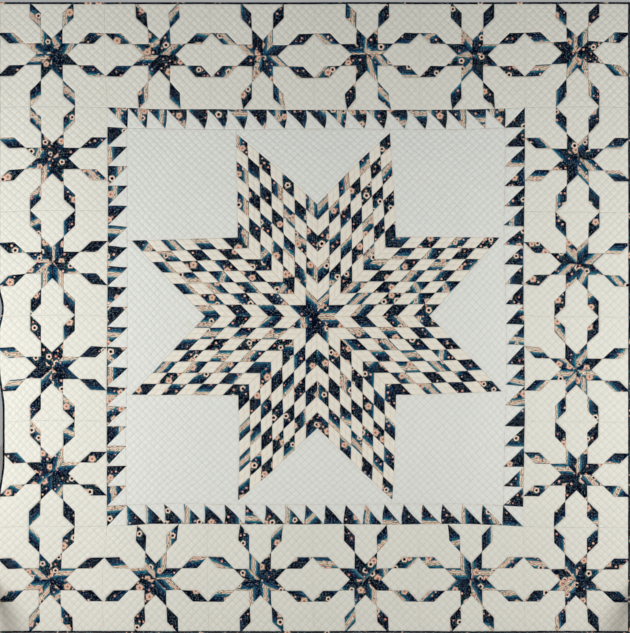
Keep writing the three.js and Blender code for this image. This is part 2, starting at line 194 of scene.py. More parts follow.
def sway(u, v):
    """Soft folds that lift the quilt forward, growing from the sleeve down."""
    grown = smooth(SLEEVE_FOOT - v, 0, 0.9)
    folds = 0.5 + 0.5 * np.cos(TURN * (u / 0.71 + 0.1 * np.sin(1.9 * v)) + 0.6)
    small = 0.5 + 0.45 * ripple(u, v, 0.42, 21)
    side = smooth(np.abs(u), QUILT_HALF - 0.2, QUILT_HALF)
    flick = side * (0.5 + 0.5 * np.cos(TURN * v / 0.52 + 1.1 * np.sign(u)))
    lower = smooth(-v, QUILT_HALF - 0.2, QUILT_HALF)
    curl = lower * (0.5 + 0.5 * np.cos(TURN * u / 0.47))
    return grown * (6 * folds + 2.5 * small + 2 * flick + 1.2 * curl) * MM


def hang(u, v, w):
    """Flat quilt places and depths as points of the hanging quilt."""
    du, dv = drift(u, v)
    return columns(u + du, -(w + sway(u, v)), CENTRE_Z + v + dv)


def hatch_place(u, v):
    """The quilting grid's own coordinates: a line runs wherever one of them is whole."""
    return (u + v) / (ROOT2 * HATCH), (u - v) / (ROOT2 * HATCH)


def pillow(a, b):
    """Height of the puffed cloth between whole-numbered quilting lines, from 0 to 1."""
    across = np.abs(np.sin(HALF_TURN * a)) * np.abs(np.sin(HALF_TURN * b))
    return across**0.5


def cloth_lift(u, v, a, b, seam):
    """Height of the face over its seams: puffed cells, pulled down at seams and binding."""
    uneven = 0.86 + 0.14 * ripple(u, v, 0.06, 31)
    edge = QUILT_HALF - np.maximum(np.abs(u), np.abs(v))
    held = smooth(seam, 0, 3 * MM) * smooth(edge, BINDING_LAP, 2 * BINDING_LAP)
    return PUFF * pillow(a, b) * uneven * held


# ---- Flat patch shapes: the fine face, the ring round it and a coarse hidden side ----


def turned(points, angle):
    cos, sin = math.cos(angle), math.sin(angle)
    return points @ np.array([[cos, sin], [-sin, cos]])


def polar(length, angle):
    return length * np.array([math.cos(angle), math.sin(angle)])


def edge_distances(points, corners):
    """The distance of each point from each side of a polygon."""
    corners = np.asarray(corners, float)
    found = []
    for start, end in zip(corners, np.roll(corners, -1, axis=0)):
        along = end - start
        t = np.clip(((points - start) @ along) / (along @ along), 0, 1)
        found.append(np.linalg.norm(points - start - t[:, None] * along, axis=1))
    return np.array(found)


def inside(points, corners):
    odd = np.zeros(len(points), bool)
    x, y = points.T
    corners = np.asarray(corners, float)
    for (x0, y0), (x1, y1) in zip(corners, np.roll(corners, -1, axis=0)):
        if y0 != y1:
            crosses = (y0 > y) != (y1 > y)
            odd ^= crosses & (x < x0 + (y - y0) * (x1 - x0) / (y1 - y0))
    return odd


def twice_area(points, tris):
    """Twice the area of each triangle, below zero where its corners run clockwise."""
    a, b, c = (points[tris[:, k]] for k in range(3))
    return (b - a)[:, 0] * (c - a)[:, 1] - (b - a)[:, 1] * (c - a)[:, 0]


def triangulated(points, ring_size):
    """Triangles that fill a ring, which is the first points, and use every point inside it."""
    border = [list(range(ring_size))]
    made = delaunay_2d_cdt([Vector(p) for p in points], [], border, 1, 1e-7)
    if len(made[0]) != len(points):
        raise ValueError("the triangulation moved a point")
    tris = np.array(made[2], int)
    clockwise = twice_area(points, tris) < 0
    tris[clockwise] = tris[clockwise][:, ::-1]
    return tris


def even_grid(corners, spacing, tilt, margin):
    """Points of a square grid through the origin that lie well inside a polygon."""
    corners = np.asarray(corners, float)
    reach = np.abs(corners).max() * 1.5
    steps = np.arange(-math.ceil(reach / spacing), math.ceil(reach / spacing) + 1) * spacing
    grid = turned(columns(*np.meshgrid(steps, steps)).reshape(-1, 2), tilt)
    low, high = corners.min(0), corners.max(0)
    grid = grid[((grid > low) & (grid < high)).all(axis=1)]
    grid = grid[inside(grid, corners)]
    return grid[edge_distances(grid, corners).min(0) > margin]


def grid_faces(wide, high):
    """The quads of a grid of points numbered column by column, and the ring round it."""
    number = np.arange(wide * high).reshape(wide, high)
    quads = columns(number[:-1, :-1], number[1:, :-1], number[1:, 1:], number[:-1, 1:])
    ring = np.concatenate([number[:-1, 0], number[-1, :-1], number[:0:-1, -1], number[0, :0:-1]])
    return quads.reshape(-1, 4), ring


class Shape:
    """A flat patch before it is placed: a fine face, a ring round it and a coarse back.

    stained numbers the sides that meet the dark print, and is every side if it isn't given.
    cells holds a diamond's own quilting coordinates.
    """

    def __init__(self, face, tris, quads, ring, corners, stained=None, cells=None):
        self.face = face
        self.tris = np.asarray(tris, int).reshape(-1, 3)
        self.quads = np.asarray(quads, int).reshape(-1, 4)
        self.ring = np.asarray(ring, int)
        self.cells = cells
        distances = edge_distances(face, corners)
        self.seam = distances.min(0)
        printed = range(len(corners)) if stained is None else stained
        self.stain = distances[list(printed)].min(0)
        extra = even_grid(corners, COARSE, 0, COARSE * 0.35)
        self.back = np.vstack([face[self.ring], extra])
        self.back_tris = triangulated(self.back, len(self.ring))[:, ::-1]


def diamond(side, cells):
    """A 45 degree diamond from the origin, quilted in four."""
    i, j = np.meshgrid(np.arange(cells + 1), np.arange(cells + 1), indexing="ij")
    along = polar(side, 0)
    up = polar(side, EIGHTH)
    share = columns(i, j).reshape(-1, 2) / cells
    face = share[:, :1] * along + share[:, 1:] * up
    quads, ring = grid_faces(cells + 1, cells + 1)
    corners = [(0, 0), along, along + up, up]
    return Shape(face, [], quads, ring, corners, cells=share * 2)


def half_square(side, cells):
    """A right triangle with its right angle at the origin."""
    number = {}
    face = []
    for i in range(cells + 1):
        for j in range(cells + 1 - i):
            number[i, j] = len(face)
            face.append((i * side / cells, j * side / cells))
    tris = []
    for i, j in number:
        if (i + 1, j) in number and (i, j + 1) in number:
            tris.append((number[i, j], number[i + 1, j], number[i, j + 1]))
        if (i + 1, j + 1) in number:
            tris.append((number[i + 1, j], number[i + 1, j + 1], number[i, j + 1]))
    ring = [number[i, 0] for i in range(cells)]
    ring += [number[cells - k, k] for k in range(cells)]
    ring += [number[0, j] for j in range(cells, 0, -1)]
    return Shape(np.array(face), tris, [], ring, [(0, 0), (side, 0), (0, side)])


def polygon(corners, stained=None):
    """Any polygon, meshed on the quilting grid so that the quilting lines run along edges."""
    corners = np.asarray(corners, float)
    fine = HATCH / FINE
    ring = []
    for start, end in zip(corners, np.roll(corners, -1, axis=0)):
        steps = max(1, round(np.linalg.norm(end - start) / fine))
        ring += [start + (end - start) * k / steps for k in range(steps)]
    ring = np.array(ring)
    face = np.vstack([ring, even_grid(corners, fine, EIGHTH, fine * 0.5)])
    tris = triangulated(face, len(ring))
    return Shape(face, tris, [], range(len(ring)), corners, stained)


# ---- Cloth pieces: closed meshes made of many placed patches ----


def new_mesh(name, points, quads, tris, flat_quads=(), flat_tris=()):
    """A mesh object from arrays. The flat faces come last and are shaded flat."""
    kinds = ((quads, 4), (tris, 3), (flat_quads, 4), (flat_tris, 3))
    groups = [np.asarray(faces, int).reshape(-1, size) for faces, size in kinds]
    corners = np.concatenate([g.ravel() for g in groups]).astype(np.int32)
    sizes = np.concatenate([np.full(len(g), g.shape[1]) for g in groups])
    starts = np.concatenate([[0], np.cumsum(sizes)[:-1]]).astype(np.int32)
    mesh = bpy.data.meshes.new(name)
    mesh.vertices.add(len(points))
    mesh.vertices.foreach_set("co", np.asarray(points, np.float32).ravel())
    mesh.loops.add(len(corners))
    mesh.loops.foreach_set("vertex_index", corners)
    mesh.polygons.add(len(sizes))
    mesh.polygons.foreach_set("loop_start", starts)
    shaded_flat = np.zeros(len(sizes), bool)
    shaded_flat[len(groups[0]) + len(groups[1]) :] = True
    mesh.update(calc_edges=True)
    mesh.polygons.foreach_set("use_smooth", ~shaded_flat)
    mesh.validate()
    thing = bpy.data.objects.new(name, mesh)
    bpy.context.scene.collection.objects.link(thing)
    return thing


def add_map(thing, name, places):
    """A UV map from one place for each vertex."""
    mesh = thing.data
    corners = np.empty(len(mesh.loops), np.int32)
    mesh.loops.foreach_get("vertex_index", corners)
    layer = mesh.uv_layers.new(name=name)
    layer.uv.foreach_set("vector", np.asarray(places, np.float32)[corners].ravel())


def add_value(thing, name, values):
    layer = thing.data.attributes.new(name, "FLOAT", "POINT")
    layer.data.foreach_set("value", np.asarray(values, np.float32))


def dress(thing, material, slot, *nodes):
    """Gives a piece of the quilt its material, hangs it on the quilt's body and hides the CAD
    nodes it stands for.
    """
    thing.data.materials.append(material)
    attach(thing, "quilt")
    if nodes:
        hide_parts(*nodes)
    return thing


class Cloth:
    """Collects placed patches of one cloth and makes one piece of them."""

    SHAPE = ("points", "quads", "tris", "flat_quads", "flat_tris")

    def __init__(self):
        self.count = 0
        self.area = 0
        self.kept = {key: [] for key in (*self.SHAPE, "grain", "stitch", "seam", "stain")}

    def add(self, shape, angle=0.0, offset=(0, 0), grain=None):
        """Places a shape. grain is (angle, shift) of the woven or printed cloth on it."""
        offset = np.asarray(offset, float)
        face, back = (
            np.clip(turned(side, angle) + offset, -CLOTH_HALF, CLOTH_HALF)
            for side in (shape.face, shape.back)
        )
        u, v = face.T
        stitch = columns(*hatch_place(u, v)) if shape.cells is None else shape.cells
        lift = cloth_lift(u, v, *stitch.T, shape.seam)
        first = self.count
        hidden = first + len(face)
        ring = first + shape.ring
        back_ring = hidden + np.arange(len(ring))
        skirt = columns(ring, back_ring, np.roll(back_ring, -1), np.roll(ring, -1))
        flat = np.vstack([face, back])
        turn, shift = (0.0, (0, 0)) if grain is None else grain
        far = np.full(len(back), 1.0)
        made = {
            "points": (hang(u, v, SEAM_DEPTH + lift), hang(*back.T, np.full(len(back), TOP_BACK))),
            "quads": (shape.quads + first,),
            "tris": (shape.tris + first,),
            "flat_quads": (skirt,),
            "flat_tris": (shape.back_tris + hidden,),
            "grain": (turned(flat - offset, -turn) + shift,),
            "stitch": (stitch, np.full((len(back), 2), 0.5)),
            "seam": (shape.seam, far),
            "stain": (shape.stain, far),
        }
        for key, arrays in made.items():
            self.kept[key] += arrays
        self.count = hidden + len(back)
        self.area += abs(twice_area(back, shape.back_tris).sum() / 2)

    def piece(self, name):
        kept = {key: np.concatenate(parts) for key, parts in self.kept.items()}
        thing = new_mesh(name, *(kept[key] for key in self.SHAPE))
        for key in ("grain", "stitch"):
            add_map(thing, key.title(), kept[key])
        for key in ("seam", "stain"):
            add_value(thing, key.title(), kept[key])
        return thing


class Scissors:
    """Says where on the cloth each patch was cut, from a fixed seed."""

    STRAIGHT = 0.8  # share of the patches cut with the stripes along one side

    def __init__(self, seed):
        self.random = np.random.default_rng(seed)

    def cut(self, *sides):
        """A grain for a patch whose sides run at these angles."""
        if self.random.random() < self.STRAIGHT:
            angle = self.random.choice(sides) + self.random.normal(0, 0.035)
        else:
            angle = self.random.uniform(0, HALF_TURN)
        if self.random.random() < 0.5:
            angle += HALF_TURN
        return angle, self.random.uniform(0, 2, 2)


# ---- Materials ----


def colour(red, green, blue):
    """A display colour, 0 to 255, as the linear one that shaders use."""
    shares = [c / 255 for c in (red, green, blue)]
    linear = [s / 12.92 if s <= 0.04045 else ((s + 0.055) / 1.055) ** 2.4 for s in shares]
    return (*linear, 1.0)


def math_node(operation):
    """A method of Out that makes a Math node."""

    def method(self, *others):
        return self.math(operation, *others)

    return method


class Out:
    """The output of a node. Python's operators on it make Math nodes."""

    def __init__(self, tree, socket):
        self.tree, self.socket = tree, socket

    def math(self, operation, *others):
        node = self.tree.nodes.new("ShaderNodeMath")
        node.operation = operation
        for socket, value in zip(node.inputs, (self, *others)):
            wire(self.tree, socket, value)
        return Out(self.tree, node.outputs[0])

    __add__ = math_node("ADD")
    __sub__ = math_node("SUBTRACT")
    __mul__ = math_node("MULTIPLY")
    __truediv__ = math_node("DIVIDE")
    __abs__ = math_node("ABSOLUTE")
    fraction = math_node("FRACT")
    sine = math_node("SINE")
    below = math_node("LESS_THAN")
    above = math_node("GREATER_THAN")

    def inverse(self):
        """1 less this."""
        return self.math("MULTIPLY_ADD", -1.0, 1.0)

    def step(self, low, high):
        """0 at low, 1 at high, and an even curve between. low may be the greater."""
        node = self.tree.nodes.new("ShaderNodeMapRange")
        node.interpolation_type = "SMOOTHSTEP"
        for name, value in (("Value", self), ("From Min", low), ("From Max", high)):
            wire(self.tree, node.inputs[name], value)
        return Out(self.tree, node.outputs["Result"])

    def ramp(self, *stops, ease="LINEAR"):
        """A colour for this number, from stops of (place, colour) in rising order."""
        node = self.tree.nodes.new("ShaderNodeValToRGB")
        node.color_ramp.interpolation = ease
        low, high = stops[0][0], stops[-1][0]
        elements = node.color_ramp.elements
        while len(elements) < len(stops):
            elements.new(0.5)
        for element, (place, shade) in zip(elements, stops):
            element.position = (place - low) / (high - low)
            element.color = shade
        wire(self.tree, node.inputs[0], (self - low) * (1 / (high - low)))
        return Out(self.tree, node.outputs[0])


def wire(tree, socket, value):
    if isinstance(value, Out):
        tree.links.new(value.socket, socket)
    else:
        socket.default_value = value


class Material:
    """A Principled material under construction. Keyword values go straight on its sockets."""

    def __init__(self, name, **values):
        self.material = bpy.data.materials.new(name)
        self.material.use_nodes = True
        self.tree = self.material.node_tree
        self.shader = self.tree.nodes["Principled BSDF"]
        for key, value in values.items():
            self.shader.inputs[key.replace("_", " ")].default_value = value

    def node(self, kind, output=0, settings=None, **inputs):
        node = self.tree.nodes.new("ShaderNode" + kind)
        for key, value in (settings or {}).items():
            setattr(node, key, value)
        for key, value in inputs.items():
            wire(self.tree, node.inputs[key.replace("_", " ")], value)
        return Out(self.tree, node.outputs[output])

    def map_place(self, name):
        """A UV map's place as a vector, in its own units."""
        return self.node("UVMap", settings={"uv_map": name})

    def object_place(self):
        return self.node("TexCoord", "Object")

    def value(self, name):
        return self.node("Attribute", "Fac", settings={"attribute_name": name})

    def split(self, vector):
        node = self.tree.nodes.new("ShaderNodeSeparateXYZ")
        wire(self.tree, node.inputs[0], vector)
        return [Out(self.tree, socket) for socket in node.outputs]

    def vector_math(self, operation, *values):
        node = self.tree.nodes.new("ShaderNodeVectorMath")
        node.operation = operation
        for socket, value in zip(node.inputs, values):
            wire(self.tree, socket, value)
        return Out(self.tree, node.outputs[0])

    def stretched(self, vector, scale):
        """The place with each axis multiplied by its own scale."""
        return self.vector_math("MULTIPLY", vector, scale)

    def noise(self, vector, size, detail=2.0, roughness=0.5, flat=False):
        """Noise with features of that size in metres, from 0 to 1."""
        settings = {"noise_dimensions": "2D" if flat else "3D"}
        inputs = {"Scale": 1 / size, "Detail": detail, "Roughness": roughness}
        return self.node("TexNoise", "Fac", settings, Vector=vector, **inputs)

    def mix(self, share, first, second):
        node = self.tree.nodes.new("ShaderNodeMix")
        node.data_type = "RGBA"
        colours = [s for s in node.inputs if s.type == "RGBA"]
        wire(self.tree, node.inputs[0], share)
        wire(self.tree, colours[0], first)
        wire(self.tree, colours[1], second)
        result = [s for s in node.outputs if s.type == "RGBA"][0]
        return Out(self.tree, result)

    def layers(self, base, *coats):
        """A base colour under coats of (share, colour), each over the ones before it."""
        for share, coat in coats:
            base = self.mix(share, base, coat)
        return base

    def relief(self, *bumps):
        """The normal from bumps of (height, depth in metres, strength), the broadest first."""
        inputs = {}
        for height, depth, strength in bumps:
            inputs.update(Height=height, Distance=depth, Strength=strength)
            inputs["Normal"] = self.node("Bump", "Normal", **inputs)
        return inputs["Normal"]

    def finish(self, **sockets):
        for key, value in sockets.items():
            wire(self.tree, self.shader.inputs[key.replace("_", " ")], value)
        return self.material


class Spots:
    """The nearest of many scattered spots, in metres: how far, in which direction, which."""

    def __init__(self, material, place, spacing, scatter=0.85):
        node = material.tree.nodes.new("ShaderNodeTexVoronoi")
        node.voronoi_dimensions = "2D"
        wire(material.tree, node.inputs["Vector"], place)
        node.inputs["Scale"].default_value = 1 / spacing
        node.inputs["Randomness"].default_value = scatter
        self.away = Out(material.tree, node.outputs["Distance"]) * spacing
        centre = Out(material.tree, node.outputs["Position"])
        x, y, _ = material.split(material.vector_math("SUBTRACT", place, centre))
        self.angle = y.math("ARCTAN2", x)
        chances = material.split(Out(material.tree, node.outputs["Color"]))
        self.which, self.other, self.third = chances


def weave(material, place, pitch=0.55 * MM):
    """Height of a plain weave, from 0 to 1."""
    x, y, _ = material.split(place)
    turn = TURN / pitch
    return ((x * turn).sine() + (y * turn).sine()) * 0.25 + 0.5


def line_offsets(material):
    """Distances from the nearest quilting lines of both directions, in cells, and the cells."""
    a, b, _ = material.split(material.map_place("Stitch"))
    return [(abs((x + 0.5).fraction() - 0.5), y) for x, y in ((a, b), (b, a))]


def stitch_marks(material):
    """1 where a quilting stitch pulls the cloth in, along the lines of the Stitch map."""
    marks = None
    for off_line, along in line_offsets(material):
        beat = abs((along * STITCHES_PER_CELL).fraction() - 0.5)
        mark = off_line.step(0.045, 0.015) * beat.step(0.33, 0.22)
        marks = mark if marks is None else marks.math("MAXIMUM", mark)
    return marks * material.value("Seam").step(0.8 * MM, 1.6 * MM)


def valley_grime_and_shade(material):
    """Up to 1 in the dips beside the quilting lines, most of all where two of them cross; the
    cotton is painted darker there, as grime and as painted shade.
    """
    first, second = (off_line.step(0.2, 0.0) for off_line, _ in line_offsets(material))
    return (first + second) * 0.5


def white_cotton(name, low, high):
    """Plain cotton between two tones, soiled a little and painted with shade in the dips of its
    quilting lines, with painted shade in its stitch dimples.
    """
    m = Material(name, Sheen_Weight=0.04, Sheen_Roughness=0.6, Specular_IOR_Level=0.15)
    grain, place = m.map_place("Grain"), m.object_place()
    seam, stain = m.value("Seam"), m.value("Stain")
    slubs = m.noise(m.stretched(grain, (1.0, 9.0, 1.0)), 11 * MM, 2.0, flat=True)
    marks, grime_and_shade = stitch_marks(m), valley_grime_and_shade(m)
    halo = stain.step(15 * MM, 0.0) * m.noise(place, 30 * MM, 3.0).step(0.45, 0.7)
    foxing = m.noise(place, 65 * MM, 4.0, 0.6).step(0.64, 0.78)
    cloth = m.layers(
        m.mix(m.noise(place, 0.34, 3.0), low, high),
        (slubs.step(0.3, 0.75) * 0.25, colour(196, 192, 180)),
        (halo * 0.2, colour(208, 172, 146)),
        (foxing * 0.16, colour(205, 178, 140)),
        # Grime and painted shade in the dips beside the quilting lines.
        (grime_and_shade * 0.13, colour(172, 166, 150)),
        (seam.step(1.2 * MM, 0.2 * MM) * 0.06, colour(150, 138, 122)),
        # Painted shade: the dimples that the stitches pull into the cloth are coloured darker.
        (marks * 0.4, colour(156, 152, 142)),
    )
    normal = m.relief(
        (m.noise(place, 8 * MM, 3.0, 0.65), 2.6 * MM, 0.9),
        (marks.inverse(), 0.5 * MM, 0.8),
        (weave(m, grain), 0.06 * MM, 0.5),
    )
    rough = slubs.step(0.0, 1.0) * 0.12 + 0.82
    return m.finish(Base_Color=cloth, Roughness=rough, Normal=normal)


STRIPE = 118 * MM  # period of the print's stripes
BAND = 19.5 * MM  # width of its floral band


def print_ground(m, off_band, place):
    """The dark ground: teal beside the band, falling to near black between the bands."""
    wander = (m.noise(place, 32 * MM, 2.0, flat=True) - 0.5) * (14 * MM)
    depth = off_band + wander
    ground = depth.ramp(
        (0.0, colour(56, 132, 144)),
        (3 * MM, colour(24, 94, 114)),
        (8 * MM, colour(9, 58, 84)),
        (15 * MM, colour(5, 32, 60)),
        (24 * MM, colour(3, 13, 38)),
        (44 * MM, colour(2, 6, 22)),
    )
    speck = Spots(m, place, 8.8 * MM)
    size = speck.which * (0.6 * MM) + 0.7 * MM
    dots = (speck.away - size).step(0.25 * MM, -0.25 * MM) * speck.other.above(0.2)
    return m.mix(dots * 0.85, ground, colour(158, 200, 214))


def print_flowers(m, cloth, place):
    """Roses, ringed flowers and buds over the ground."""
    bud = Spots(m, place, 22 * MM)
    here = bud.which.below(0.27)
    bloom = (bud.away - bud.other * (2.4 * MM)).step(3.4 * MM, 2.4 * MM) * here
    petal = m.mix(bud.third, colour(218, 176, 154), colour(170, 98, 92))
    heart = bud.away.step(2.0 * MM, 1.2 * MM) * here

    rose = Spots(m, place, 50 * MM, 0.75)
    lobes = (rose.angle * 5.0 + rose.other * 6.0).sine()
    size = rose.third * (4 * MM) + lobes * (1.5 * MM) + 12 * MM
    share = rose.away / size
    full, ringed = rose.which.below(0.3), rose.which.above(0.78)
    leaf_room = share.step(1.45, 1.2) * m.noise(place, 9 * MM, 1.0, flat=True).step(0.46, 0.54)
    folds = (rose.angle * 5.0 + share * 9.0 + rose.other * 6.0).sine() * 0.5 + 0.5
    petals = m.layers(
        colour(230, 200, 180),
        (folds * 0.85, colour(178, 128, 108)),
        (share.step(0.4, 0.2), colour(146, 98, 72)),
        (share.step(0.86, 0.98) * 0.7, colour(112, 66, 58)),
    )
    ring = m.layers(
        colour(236, 216, 198),
        (folds * 0.6, colour(200, 146, 130)),
        (share.step(0.46, 0.38), colour(8, 10, 20)),
    )
    return m.layers(
        cloth,
        (bloom, petal),
        (heart * 0.8, colour(236, 216, 194)),
        (leaf_room * (full + ringed) * 0.8, colour(26, 88, 88)),
        (share.step(1.04, 0.96) * full, petals),
        (share.step(0.88, 0.78) * ringed, ring),
    )


def print_band(m, place, across):
    """The narrow floral stripe: cream, tan and brown lines that waver, with sprigs on them."""
    x, _, _ = m.split(place)
    wavy = across + (x * (TURN / (24 * MM))).sine() * (1.5 * MM)
    band = (wavy + BAND / 2).ramp(
        (0.0, colour(140, 112, 92)),
        (2.4 * MM, colour(232, 222, 202)),
        (5.2 * MM, colour(70, 50, 42)),
        (7.2 * MM, colour(212, 178, 154)),
        (10.4 * MM, colour(234, 224, 204)),
        (12.6 * MM, colour(46, 58, 50)),
        (14.8 * MM, colour(228, 216, 196)),
        (17.4 * MM, colour(160, 122, 100)),
        (BAND, colour(160, 122, 100)),
        ease="CONSTANT",
    )
    sprig = Spots(m, place, 11 * MM)
    dab = sprig.away.step(3.4 * MM, 2.6 * MM) * sprig.other.below(0.7)
    shade = sprig.which.ramp(
        (0.0, colour(196, 122, 106)),
        (0.35, colour(238, 214, 192)),
        (0.6, colour(44, 88, 78)),
        (0.8, colour(60, 40, 38)),
        (1.0, colour(60, 40, 38)),
        ease="CONSTANT",
    )
    return m.mix(dab * 0.85, band, shade)


def printed_cotton():
    m = Material("Printed_cotton", Specular_IOR_Level=0.02)
    grain, place = m.map_place("Grain"), m.object_place()
    _, y, _ = m.split(grain)
    across = ((y / STRIPE).fraction() - 0.5) * STRIPE
    off_band = abs(across) - BAND / 2
    worn = m.noise(place, 24 * MM, 4.0, 0.65)
    marks = stitch_marks(m)
    cloth = m.layers(
        print_flowers(m, print_ground(m, off_band, grain), grain),
        (off_band.step(0.25 * MM, -0.25 * MM), print_band(m, grain, across)),
        (worn.step(0.5, 0.8) * 0.06, colour(92, 108, 120)),
        (marks * 0.25, colour(150, 152, 150)),
        (m.value("Seam").step(1.3 * MM, 0.1 * MM) * 0.4, colour(16, 18, 28)),
    )
    normal = m.relief(
        (m.noise(place, 8 * MM, 3.0, 0.6), 0.9 * MM, 0.6),
        (marks.inverse(), 0.45 * MM, 0.8),
        (weave(m, grain), 0.05 * MM, 0.5),
    )
    return m.finish(Base_Color=cloth, Roughness=worn * 0.25 + 0.55, Normal=normal)


def muslin():
    m = Material("Muslin", Sheen_Weight=0.08, Sheen_Roughness=0.6, Specular_IOR_Level=0.18)
    grain, place = m.map_place("Grain"), m.object_place()
    threads = m.noise(m.stretched(grain, (1.0, 14.0, 1.0)), 9 * MM, 2.0, flat=True)
    cross = m.noise(m.stretched(grain, (12.0, 1.0, 1.0)), 9 * MM, 2.0, flat=True)
    husks = Spots(m, grain, 21 * MM, 1.0)
    fleck = husks.away.step(0.7 * MM, 0.3 * MM) * husks.which.below(0.5)
    marks = stitch_marks(m)
    cloth = m.layers(
        m.mix(m.noise(place, 0.4, 3.0), colour(214, 206, 188), colour(226, 219, 202)),
        ((threads * cross).step(0.2, 0.45) * 0.35, colour(196, 184, 160)),
        (fleck * 0.7, colour(120, 92, 62)),
        (marks * 0.5, colour(236, 233, 224)),
        (m.value("Seam").step(1.6 * MM, 0.2 * MM) * 0.5, colour(140, 128, 106)),
    )
    normal = m.relief(
        (m.noise(place, 9 * MM, 3.0, 0.6), 1.0 * MM, 0.6),
        (marks.inverse(), 0.5 * MM, 0.8),
        (weave(m, grain, 0.7 * MM), 0.09 * MM, 0.6),
    )
    return m.finish(Base_Color=cloth, Roughness=threads * 0.1 + 0.84, Normal=normal)


def wadding():
    m = Material("Cotton_wadding", Sheen_Weight=0.3, Roughness=1.0)
    place = m.object_place()
    lumps = m.noise(place, 14 * MM, 5.0, 0.7)
    fluff = m.mix(lumps, colour(220, 212, 190), colour(244, 240, 228))
    return m.finish(Base_Color=fluff, Normal=m.relief((lumps, 3 * MM, 0.8)))


def thread():
    m = Material("Cotton_thread", Sheen_Weight=0.2)
    place = m.object_place()
    fibre = m.noise(place, 0.5 * MM, 3.0)
    spun = m.mix(fibre, colour(206, 200, 184), colour(236, 232, 220))
    normal = m.relief((fibre, 0.1 * MM, 1.0))
    return m.finish(Base_Color=spun, Roughness=fibre * 0.2 + 0.7, Normal=normal)


def wood(name, axis, pale, dark, pore, roughness, coat):
    """Planed and waxed wood with its grain along one axis."""
    m = Material(name, Coat_Weight=coat, Coat_Roughness=0.32)
    place = m.object_place()

    def drawn_out(share):
        """The place with the grain's own axis shortened, which draws a pattern out along it."""
        return m.stretched(place, tuple(share if letter == axis else 1.0 for letter in "XYZ"))

    along = drawn_out(0.06)
    wander = m.noise(along, 60 * MM, 3.0, 0.55)
    bent = m.vector_math("MULTIPLY_ADD", wander, (26 * MM,) * 3, along)
    rings = abs((m.noise(bent, 11 * MM, 2.0, 0.5) * 7.0).fraction() - 0.5) * 2.0
    pores = m.noise(drawn_out(0.02), 1.3 * MM, 2.0, 0.6).step(0.56, 0.7)
    rubbed = m.noise(place, 0.12, 4.0, 0.6)
    timber = m.layers(
        pale,
        (rings.step(0.1, 0.95), dark),
        (m.noise(along, 0.16, 2.0) * 0.5, dark),
        (pores * 0.55, pore),
        (rubbed.step(0.55, 0.8) * 0.18, pale),
    )
    normal = m.relief((pores.inverse(), 0.22 * MM, 0.5), (rings, 0.12 * MM, 0.35))
    rough = rubbed * 0.16 + pores * 0.12 + roughness
    return m.finish(Base_Color=timber, Roughness=rough, Normal=normal)


def brass():
    m = Material("Brass", Metallic=1.0)
    place = m.object_place()
    tarnish = m.noise(place, 16 * MM, 4.0, 0.65)
    metal = m.mix(tarnish.step(0.35, 0.75), colour(214, 176, 104), colour(150, 112, 60))
    scratches = m.noise(m.stretched(place, (1.0, 0.2, 1.0)), 1.2 * MM, 3.0)
    rough = tarnish * 0.25 + scratches * 0.12 + 0.16
    normal = m.relief((scratches, 0.05 * MM, 0.4))
    return m.finish(Base_Color=metal, Roughness=rough, Normal=normal)


def felt():
    m = Material("Felt", Sheen_Weight=0.4, Roughness=1.0)
    place = m.object_place()
    fibres = m.noise(place, 2.2 * MM, 5.0, 0.75)
    grey = m.mix(fibres, colour(72, 66, 58), colour(112, 104, 92))
    return m.finish(Base_Color=grey, Normal=m.relief((fibres, 0.8 * MM, 0.8)))


FIELD_WHITE = white_cotton("White_cotton_field", colour(215, 218, 213), colour(224, 226, 221))
STAR_WHITE = white_cotton("White_cotton_star", colour(222, 217, 203), colour(231, 226, 213))
BORDER_WHITE = white_cotton("White_cotton_border", colour(216, 215, 205), colour(225, 224, 215))
PRINT = printed_cotton()
MUSLIN = muslin()
THREAD = thread()


# ---- The quilt's top ----


def sew(cloth, name, node, look):
    """Makes one piece of the cloth's patches, which stands for part of a CAD node."""
    slot = "printed_cotton" if look is PRINT else "white_cotton"
    dress(cloth.piece(name), look, slot, node)


def block_shapes():
    """One diamond and the two shapes of white patch in a star block."""
    s = PATCH
    half = 1 / ROOT2
    edge = BLOCK / 2 / s
    kite = [
        (0, 1), (half, 1 + half), (half, 2 + half), (edge - 2, edge),
        (2 - edge, edge), (-half, 2 + half), (-half, 1 + half),
    ]
    corner = [
        (half, half), (1 + half, half), (1 + 2 * half, 2 * half), (edge, edge - 2),
        (edge, edge), (edge - 2, edge), (2 * half, 1 + 2 * half), (half, 1 + half),
    ]
    return (
        diamond(s, PATCH_CELLS),
        polygon(np.array(kite) * s, stained=(0, 1, 2, 4, 5, 6)),
        polygon(np.array(corner) * s, stained=(0, 1, 2, 5, 6, 7)),
    )


def border_blocks():
    """The centre and border side of each star block, clockwise from the upper left."""
    last = BLOCKS_ACROSS - 1
    places = {
        "top": [(k, last) for k in range(last)],
        "right": [(last, last - k) for k in range(last)],
        "bottom": [(last - k, 0) for k in range(last)],
        "left": [(0, k) for k in range(last)],
    }
    for side, cells in places.items():
        for number, (column, row) in enumerate(cells, 1):
            centre = (np.array([column, row]) - last / 2) * BLOCK
            yield side, number, centre


def make_star_blocks():
    blade, kite, corner = block_shapes()
    scissors = Scissors(101)
    tip = 2 * PATCH * math.cos(EIGHTH / 2)
    for side, number, centre in border_blocks():
        dark, white = Cloth(), Cloth()
        for k in range(8):
            angle = k * EIGHTH
            for start in (np.zeros(2), polar(tip, angle + EIGHTH / 2)):
                grain = scissors.cut(angle, angle + EIGHTH)
                dark.add(blade, angle, centre + start, grain)
        for k in range(4):
            for shape in (kite, corner):
                white.add(shape, k * QUARTER, centre, scissors.cut(0, QUARTER))
        node = "star_border_" + side
        name = f"{node}_block_{number}"
        sew(dark, name + "_diamonds", node, PRINT)
        sew(white, name + "_ground", node, BORDER_WHITE)


